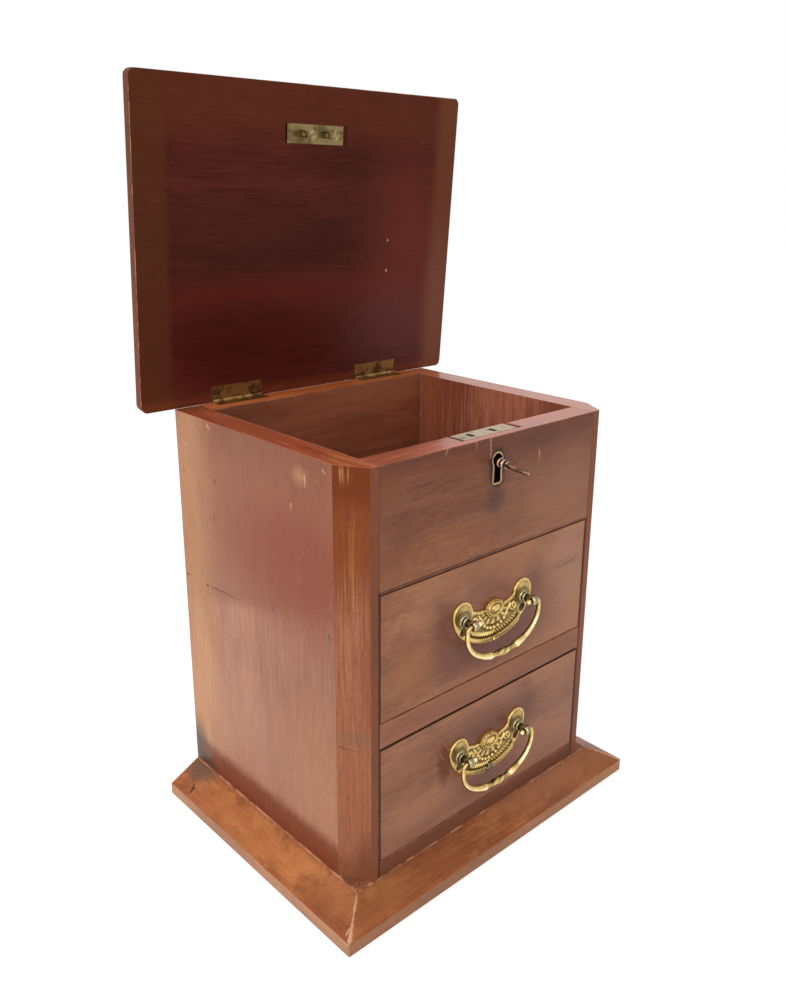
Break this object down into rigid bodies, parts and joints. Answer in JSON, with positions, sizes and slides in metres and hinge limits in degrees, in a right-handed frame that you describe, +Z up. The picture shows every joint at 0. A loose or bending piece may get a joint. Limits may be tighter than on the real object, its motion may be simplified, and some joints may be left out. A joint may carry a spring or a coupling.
{
  "type": "tabletop chest of drawers",
  "caption": "Small wooden chest with stacked drawers on brass bail handles, a hinged lid over a lockable top compartment with its key, and a bevelled base.",
  "frame": {"origin": "centre of the base's flat underside", "axes": "+Z up, front faces -Y, +X to the right seen from the front; the lid hinges on the back edge, +Y"},
  "size_m": [0.24, 0.1954, 0.4385],
  "materials": {
    "case_wood": "aged reddish mahogany tone, thin worn varnish, satin",
    "base_wood": "orange-brown stained hardwood, worn satin varnish",
    "lid_wood": "dark burgundy-brown stained hardwood, low sheen",
    "drawer_front_wood": "reddish-brown hardwood with cloudy grain, satin varnish",
    "lining_wood": "plain brown wood, unpolished",
    "handle_brass": "cast brass with dark patina in the hollows",
    "fitting_brass": "dull olive-brown tarnished brass",
    "brass_screw": "tarnished slotted brass screws",
    "steel_screw": "darkened slotted steel screws",
    "lock_steel": "plain dull steel",
    "key_steel": "dark aged steel"
  },
  "bodies": {
    "case": {"back_panel": "case_wood", "base_board": "base_wood", "base_moulding_front": "base_wood", "base_moulding_left": "base_wood", "base_moulding_right": "base_wood", "base_screws": "steel_screw", "bottom_board": "case_wood", "case_side_left": "case_wood", "case_side_right": "case_wood", "compartment_floor": "lining_wood", "drawer_rail": "case_wood", "drawer_stops": "lining_wood", "escutcheon": "fitting_brass", "front_panel": "case_wood", "hinge_left_case_leaf": "fitting_brass", "hinge_left_pin": "fitting_brass", "hinge_right_case_leaf": "fitting_brass", "hinge_right_pin": "fitting_brass", "hinge_screws_case": "steel_screw", "lock_box": "lock_steel", "lock_drill_pin": "lock_steel", "lock_plate": "fitting_brass", "lock_screws": "steel_screw", "runner_left": "lining_wood", "runner_right": "lining_wood"},
    "lid": {"hinge_left_lid_leaf": "fitting_brass", "hinge_right_lid_leaf": "fitting_brass", "hinge_screws_lid": "steel_screw", "lid_panel": "lid_wood", "striker_plate": "fitting_brass", "striker_screws": "brass_screw"},
    "key": {"key": "key_steel"},
    "lock_bolt": {"lock_bolt": "lock_steel"},
    "lower_drawer": {"lower_drawer_back": "lining_wood", "lower_drawer_bottom": "lining_wood", "lower_drawer_front": "drawer_front_wood", "lower_drawer_side_left": "lining_wood", "lower_drawer_side_right": "lining_wood", "lower_handle_backplate": "handle_brass", "lower_handle_posts": "handle_brass", "lower_handle_screws": "brass_screw"},
    "lower_bail": {"lower_handle_bail": "handle_brass"},
    "upper_drawer": {"upper_drawer_back": "lining_wood", "upper_drawer_bottom": "lining_wood", "upper_drawer_front": "drawer_front_wood", "upper_drawer_side_left": "lining_wood", "upper_drawer_side_right": "lining_wood", "upper_handle_backplate": "handle_brass", "upper_handle_posts": "handle_brass", "upper_handle_screws": "brass_screw"},
    "upper_bail": {"upper_handle_bail": "handle_brass"}
  },
  "joints": [
    {"name": "lid_hinge", "type": "hinge", "parent": "case", "child": "lid", "pos_m": [0, 0.0925, 0.2551], "axis": [-1, 0, 0], "range_deg": [-85.6, 107]},
    {"name": "upper_drawer_slide", "type": "slide", "parent": "case", "child": "upper_drawer", "axis": [0, -1, 0], "range_m": [0, 0.105]},
    {"name": "lower_drawer_slide", "type": "slide", "parent": "case", "child": "lower_drawer", "axis": [0, -1, 0], "range_m": [0, 0.105]},
    {"name": "upper_bail_swing", "type": "hinge", "parent": "upper_drawer", "child": "upper_bail", "pos_m": [0, -0.0835, 0.1547], "axis": [-1, 0, 0], "range_deg": [-12, 190]},
    {"name": "lower_bail_swing", "type": "hinge", "parent": "lower_drawer", "child": "lower_bail", "pos_m": [0, -0.0835, 0.0692], "axis": [-1, 0, 0], "range_deg": [-12, 190]},
    {"name": "key_turn", "type": "hinge", "parent": "case", "child": "key", "pos_m": [0, -0.06275, 0.2418], "axis": [0, 0.9945, 0.1045], "range_deg": [0, 137.2]},
    {"name": "bolt_slide", "type": "slide", "parent": "case", "child": "lock_bolt", "axis": [1, 0, 0], "range_m": [0, 0.004]}
  ],
  "couplings": [
    {"joint": "key_turn", "follows": "bolt_slide", "rad_per_m": 598.64}
  ]
}
